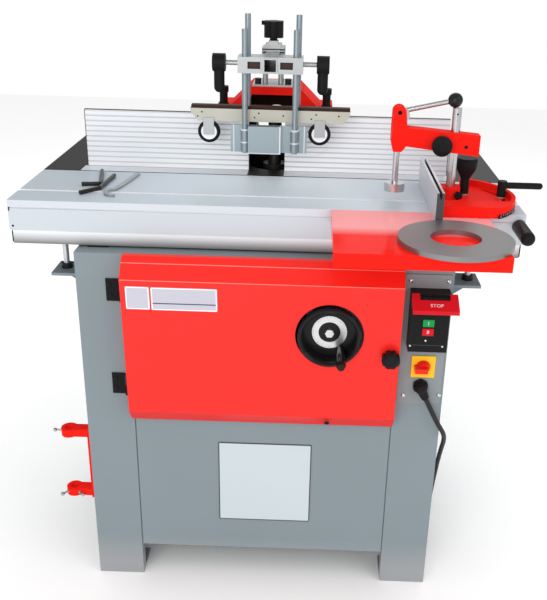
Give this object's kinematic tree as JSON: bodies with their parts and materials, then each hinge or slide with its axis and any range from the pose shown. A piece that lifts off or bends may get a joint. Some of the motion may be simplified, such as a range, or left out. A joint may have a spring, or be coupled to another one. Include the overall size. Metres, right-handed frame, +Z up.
{
  "type": "spindle moulder",
  "caption": "Floor-standing spindle moulder with sliding table, split fence with extraction hood, adjustable cutter guard, mitre gauge with cam clamp, handwheel lift and switch panel.",
  "frame": {"origin": "on the floor, in the middle of the four anchor holes in the cabinet's feet", "axes": "+X to the operator's right along the sliding table, +Y from the operator to the rear, +Z up along the spindle"},
  "size_m": [1.0462, 0.946, 1.206],
  "materials": {
    "grey_paint": "satin paint over folded sheet",
    "red_paint": "gloss red paint",
    "black_paint": "satin black paint",
    "motor_paint": "satin dark paint",
    "cast_table": "ground top, dark",
    "aluminium": "brushed along its length",
    "ring_metal": "turned face",
    "zinc": "zinc plated",
    "board_laminate": "pale laminate on board, dark edges",
    "steel": "bright turned steel",
    "black_plastic": "moulded black plastic",
    "control_grey": "grey plate",
    "belt_rubber": "flat rubber belt",
    "cord_rubber": "rubber sheathed lead",
    "wheel_rubber": "black tread, grey hub",
    "start_green": "green button",
    "stop_red": "red plastic"
  },
  "bodies": {
    "cabinet": {"left_side_panel": "grey_paint", "right_side_panel": "grey_paint", "front_lower_panel": "grey_paint", "rear_panel": "grey_paint", "table_frame": "black_paint", "main_table": "cast_table", "slide_rail": "aluminium", "rail_brackets": "black_paint", "control_plate": "control_grey", "switch_box": "black_plastic", "cable_gland": "black_plastic", "hinge_leaves": "black_paint", "ring_bracket": "red_paint", "height_guide": "black_paint", "power_cord": "cord_rubber", "cord_coil": "cord_rubber", "mains_plug": "black_plastic"},
    "door": {"red_door": "red_paint"},
    "door_knob": {"door_knob": "black_plastic"},
    "handwheel": {"handwheel": "black_plastic", "height_shaft": "steel"},
    "handwheel_grip": {"handwheel_grip": "black_plastic"},
    "leadscrew": {"leadscrew": "steel"},
    "carriage": {"carriage": "black_paint", "motor": "motor_paint", "drive_belt": "belt_rubber"},
    "spindle": {"spindle": "steel"},
    "motor_pulley": {"motor_pulley": "steel"},
    "sliding_table": {"sliding_table": "aluminium", "push_handle": "black_plastic", "extension_plate": "red_paint", "insert_ring": "ring_metal"},
    "mitre_gauge": {"mitre_base": "red_paint", "mitre_fence": "aluminium"},
    "gauge_lever": {"gauge_lever": "black_plastic"},
    "swivel_lever": {"swivel_lever": "black_plastic"},
    "clamp_column": {"clamp_column": "steel"},
    "clamp_arm": {"clamp_arm": "red_paint"},
    "arm_knob": {"arm_knob": "black_plastic"},
    "cam_lever": {"cam_lever": "black_plastic"},
    "clamp_rod": {"clamp_rod": "aluminium"},
    "fence_hood": {"fence_hood": "red_paint", "guard_carrier": "zinc"},
    "fence_plate_left": {"fence_plate_left": "aluminium"},
    "fence_plate_right": {"fence_plate_right": "aluminium"},
    "fence_lever_left": {"fence_lever_left": "black_plastic"},
    "fence_lever_right": {"fence_lever_right": "black_plastic"},
    "guard_tube": {"guard_tube": "zinc"},
    "guard_top_knob": {"guard_top_knob": "black_plastic"},
    "guard_knob_left": {"guard_knob_left": "black_plastic"},
    "guard_knob_right": {"guard_knob_right": "black_plastic"},
    "pressure_shoe": {"pressure_shoe": "zinc"},
    "guard_board": {"board_rods": "zinc", "guard_board": "board_laminate"},
    "wheel_left": {"wheel_left": "wheel_rubber"},
    "wheel_right": {"wheel_right": "wheel_rubber"},
    "start_button": {"start_button": "start_green"},
    "stop_button": {"stop_button": "stop_red"},
    "stop_flap": {"stop_flap": "stop_red"},
    "main_switch": {"main_switch_knob": "stop_red"}
  },
  "joints": [
    {"name": "door_hinge", "type": "hinge", "parent": "cabinet", "child": "door", "pos_m": [-0.28, -0.287, 0.6], "axis": [0, 0, -1], "range_deg": [0, 95]},
    {"name": "door_knob_turn", "type": "hinge", "parent": "door", "child": "door_knob", "pos_m": [0.252, -0.34, 0.595], "axis": [0, 1, 0], "range_deg": [0, 720]},
    {"name": "spindle_height", "type": "slide", "parent": "cabinet", "child": "carriage", "axis": [0, 0, 1], "range_m": [-0.06, 0.04]},
    {"name": "handwheel_turn", "type": "hinge", "parent": "cabinet", "child": "handwheel", "pos_m": [0.131, -0.3, 0.637], "axis": [0, 1, 0], "range_deg": [-2165, 1445]},
    {"name": "grip_turn", "type": "hinge", "parent": "handwheel", "child": "handwheel_grip", "pos_m": [0.15326, -0.35, 0.60138], "axis": [0, 1, 0], "continuous": true},
    {"name": "leadscrew_turn", "type": "hinge", "parent": "cabinet", "child": "leadscrew", "pos_m": [0.131, 0.07, 0.6], "axis": [0, 0, 1], "range_deg": [-1445, 2165]},
    {"name": "spindle_turn", "type": "hinge", "parent": "carriage", "child": "spindle", "pos_m": [0, 0.1, 0.8], "axis": [0, 0, 1], "continuous": true},
    {"name": "motor_turn", "type": "hinge", "parent": "carriage", "child": "motor_pulley", "pos_m": [-0.175, 0.1, 0.6], "axis": [0, 0, 1], "continuous": true},
    {"name": "table_slide", "type": "slide", "parent": "cabinet", "child": "sliding_table", "axis": [-1, 0, 0], "range_m": [-0.3, 0.3]},
    {"name": "gauge_swivel", "type": "hinge", "parent": "sliding_table", "child": "mitre_gauge", "pos_m": [0.36, -0.183, 0.875], "axis": [0, 0, 1], "range_deg": [-28, 28]},
    {"name": "swivel_lever_turn", "type": "hinge", "parent": "sliding_table", "child": "swivel_lever", "pos_m": [0.46568, -0.16626, 0.9], "axis": [0, 0, 1], "range_deg": [-40, 60]},
    {"name": "gauge_lever_turn", "type": "hinge", "parent": "mitre_gauge", "child": "gauge_lever", "pos_m": [0.394, -0.15, 0.9], "axis": [0, 0, 1], "range_deg": [-50, 20]},
    {"name": "clamp_swing", "type": "hinge", "parent": "mitre_gauge", "child": "clamp_column", "pos_m": [0.36, -0.183, 0.95], "axis": [0, 0, 1], "range_deg": [-40, 40]},
    {"name": "clamp_height", "type": "slide", "parent": "clamp_column", "child": "clamp_arm", "axis": [0, 0, 1], "range_m": [0, 0.03]},
    {"name": "arm_knob_turn", "type": "hinge", "parent": "clamp_arm", "child": "arm_knob", "pos_m": [0.333, -0.21, 0.989], "axis": [0, 1, 0], "range_deg": [-360, 360]},
    {"name": "cam_turn", "type": "hinge", "parent": "clamp_arm", "child": "cam_lever", "pos_m": [0.25, -0.183, 1.048], "axis": [0, -1, 0], "range_deg": [0, 60]},
    {"name": "clamp_press", "type": "slide", "parent": "clamp_arm", "child": "clamp_rod", "axis": [0, 0, 1], "range_m": [0, 0.0072]},
    {"name": "fence_depth", "type": "slide", "parent": "cabinet", "child": "fence_hood", "axis": [0, 1, 0], "range_m": [-0.01, 0.035]},
    {"name": "left_fence_slide", "type": "slide", "parent": "fence_hood", "child": "fence_plate_left", "axis": [1, 0, 0], "range_m": [-0.025, 0.01]},
    {"name": "right_fence_slide", "type": "slide", "parent": "fence_hood", "child": "fence_plate_right", "axis": [1, 0, 0], "range_m": [-0.01, 0.025]},
    {"name": "left_fence_lever", "type": "hinge", "parent": "fence_hood", "child": "fence_lever_left", "pos_m": [-0.114, 0.0835, 1.02], "axis": [0, 0, 1], "range_deg": [-90, 90]},
    {"name": "right_fence_lever", "type": "hinge", "parent": "fence_hood", "child": "fence_lever_right", "pos_m": [0.114, 0.0835, 1.02], "axis": [0, 0, 1], "range_deg": [-90, 90]},
    {"name": "guard_reach", "type": "slide", "parent": "fence_hood", "child": "guard_tube", "axis": [0, 1, 0], "range_m": [-0.04, 0.03]},
    {"name": "guard_lock_turn", "type": "hinge", "parent": "fence_hood", "child": "guard_top_knob", "pos_m": [-0.004, 0.0705, 1.16], "axis": [0, 0, 1], "range_deg": [-180, 180]},
    {"name": "left_guard_knob", "type": "hinge", "parent": "guard_tube", "child": "guard_knob_left", "pos_m": [-0.1, -0.027, 1.11], "axis": [1, 0, 0], "range_deg": [-60, 60]},
    {"name": "right_guard_knob", "type": "hinge", "parent": "guard_tube", "child": "guard_knob_right", "pos_m": [0.1, -0.027, 1.11], "axis": [1, 0, 0], "range_deg": [-60, 60]},
    {"name": "shoe_height", "type": "slide", "parent": "guard_tube", "child": "pressure_shoe", "axis": [0, 0, 1], "range_m": [-0.045, 0.06]},
    {"name": "board_height", "type": "slide", "parent": "guard_tube", "child": "guard_board", "axis": [0, 0, 1], "range_m": [-0.04, 0.025]},
    {"name": "left_wheel_turn", "type": "hinge", "parent": "guard_board", "child": "wheel_left", "pos_m": [-0.133, -0.033, 0.969], "axis": [0, 1, 0], "continuous": true},
    {"name": "right_wheel_turn", "type": "hinge", "parent": "guard_board", "child": "wheel_right", "pos_m": [0.1, -0.033, 0.969], "axis": [0, 1, 0], "continuous": true},
    {"name": "start_press", "type": "slide", "parent": "cabinet", "child": "start_button", "axis": [0, 1, 0], "range_m": [0, 0.003], "stiffness_N_per_m": 400, "springref_m": -0.002},
    {"name": "stop_press", "type": "slide", "parent": "cabinet", "child": "stop_button", "axis": [0, 1, 0], "range_m": [0, 0.003], "stiffness_N_per_m": 400, "springref_m": -0.002},
    {"name": "stop_flap_press", "type": "hinge", "parent": "cabinet", "child": "stop_flap", "pos_m": [0.329, -0.319, 0.721], "axis": [1, 0, 0], "range_deg": [0, 7], "stiffness_Nm_per_rad": 0.4, "springref_deg": -2.86},
    {"name": "main_switch_turn", "type": "hinge", "parent": "cabinet", "child": "main_switch", "pos_m": [0.324, -0.29, 0.556], "axis": [0, 1, 0], "range_deg": [0, 90]}
  ],
  "couplings": [
    {"joint": "handwheel_turn", "follows": "spindle_height", "rad_per_m": 628.32},
    {"joint": "leadscrew_turn", "follows": "spindle_height", "rad_per_m": -628.32},
    {"joint": "motor_turn", "follows": "spindle_turn", "ratio": 0.57143},
    {"joint": "clamp_press", "follows": "cam_turn", "m_per_rad": 0.006617}
  ]
}
